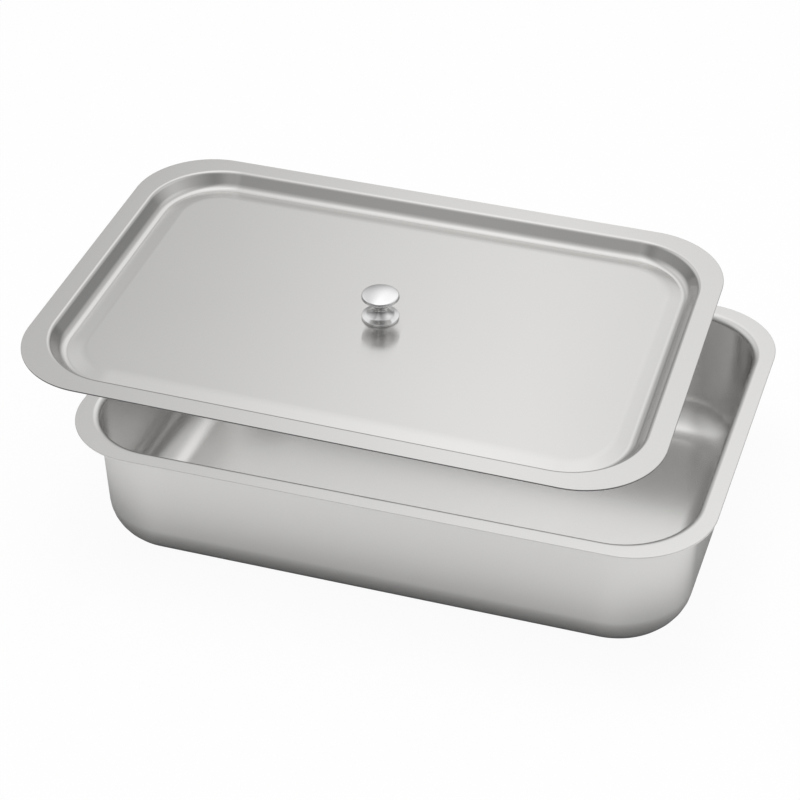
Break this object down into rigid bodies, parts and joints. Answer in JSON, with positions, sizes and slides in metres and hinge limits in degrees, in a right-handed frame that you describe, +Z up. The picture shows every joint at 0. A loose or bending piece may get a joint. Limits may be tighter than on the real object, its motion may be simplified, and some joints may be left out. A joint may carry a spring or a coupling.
{
  "type": "instrument tray with lid",
  "caption": "Rectangular deep-drawn steel tray with a flat rim and a lift-off stepped lid with a turned knob, for holding surgical instruments.",
  "frame": {"origin": "on the table, under the middle of the tray's flat bottom", "axes": "+X along the tray, +Y across it, away from the viewer, +Z up"},
  "size_m": [0.3353, 0.2169, 0.1127],
  "materials": {
    "tray_steel": "satin stainless steel, finely brushed",
    "lid_steel": "satin stainless steel, finely brushed",
    "polished_knob": "polished",
    "fixing_steel": "plain stainless steel"
  },
  "bodies": {
    "tray": {"tray": "tray_steel"},
    "lid": {"lid": "lid_steel", "knob": "polished_knob", "knob_washer": "fixing_steel", "knob_screw": "fixing_steel"}
  },
  "joints": [
    {"name": "lid_lift", "type": "hinge", "parent": "tray", "child": "lid", "pos_m": [0.39, -0.597, 0.347], "axis": [0.6298, 0.6268, 0.4588], "range_deg": [-3.3, 6]}
  ]
}
